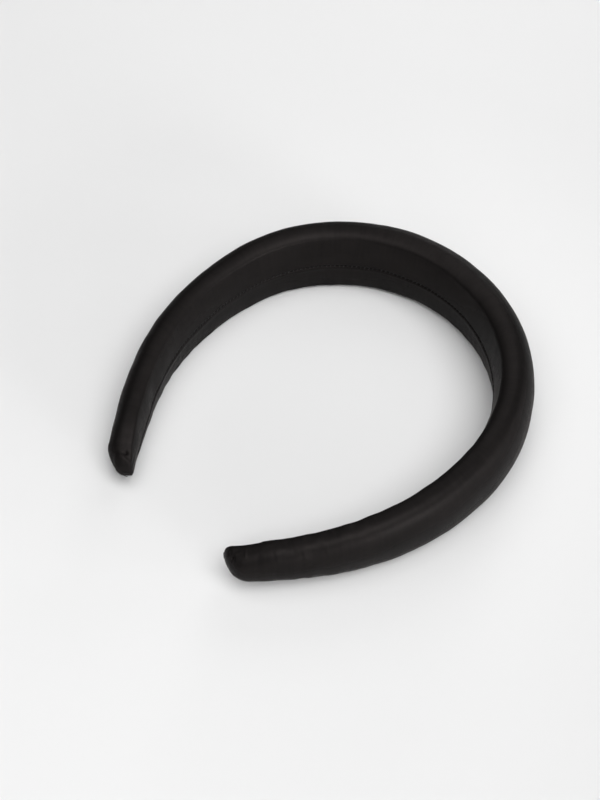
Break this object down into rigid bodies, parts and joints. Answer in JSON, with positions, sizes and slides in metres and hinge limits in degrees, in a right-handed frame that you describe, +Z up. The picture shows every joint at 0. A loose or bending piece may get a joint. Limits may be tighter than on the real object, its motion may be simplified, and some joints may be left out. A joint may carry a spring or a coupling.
{
  "type": "headband",
  "caption": "Padded satin headband lying on its side: a springy C-shaped core wrapped in foam inside a sewn fabric cover, with its ends folded and stitched shut.",
  "frame": {"origin": "on the surface the band lies on, under the middle of its box", "axes": "+Z up, +Y from the open end towards the crown (the middle of the band), +X towards the right-hand arm. The band's own plane leans 1.7 degrees about X, crown up, because its rounded underside rests where it balances."},
  "size_m": [0.1528, 0.1694, 0.034],
  "materials": {
    "satin": "black satin weave with a soft, slightly warm sheen",
    "foam": "fine open-cell foam, matt",
    "core_plastic": "moulded black plastic, matt",
    "thread": "twisted black sewing thread"
  },
  "bodies": {
    "left_side": {"core_left": "core_plastic", "foam_pad_left": "foam", "cover_left": "satin", "seam_thread_left": "thread", "tip_stitch_left": "thread"},
    "right_side": {"core_right": "core_plastic", "foam_pad_right": "foam", "cover_right": "satin", "seam_thread_right": "thread", "tip_stitch_right": "thread"}
  },
  "joints": [
    {"name": "crown_flex", "type": "hinge", "parent": "left_side", "child": "right_side", "pos_m": [0, 0.08465, 0.01772], "axis": [0, -0.0297, 0.9996], "range_deg": [0, 30], "stiffness_Nm_per_rad": 0.8}
  ]
}
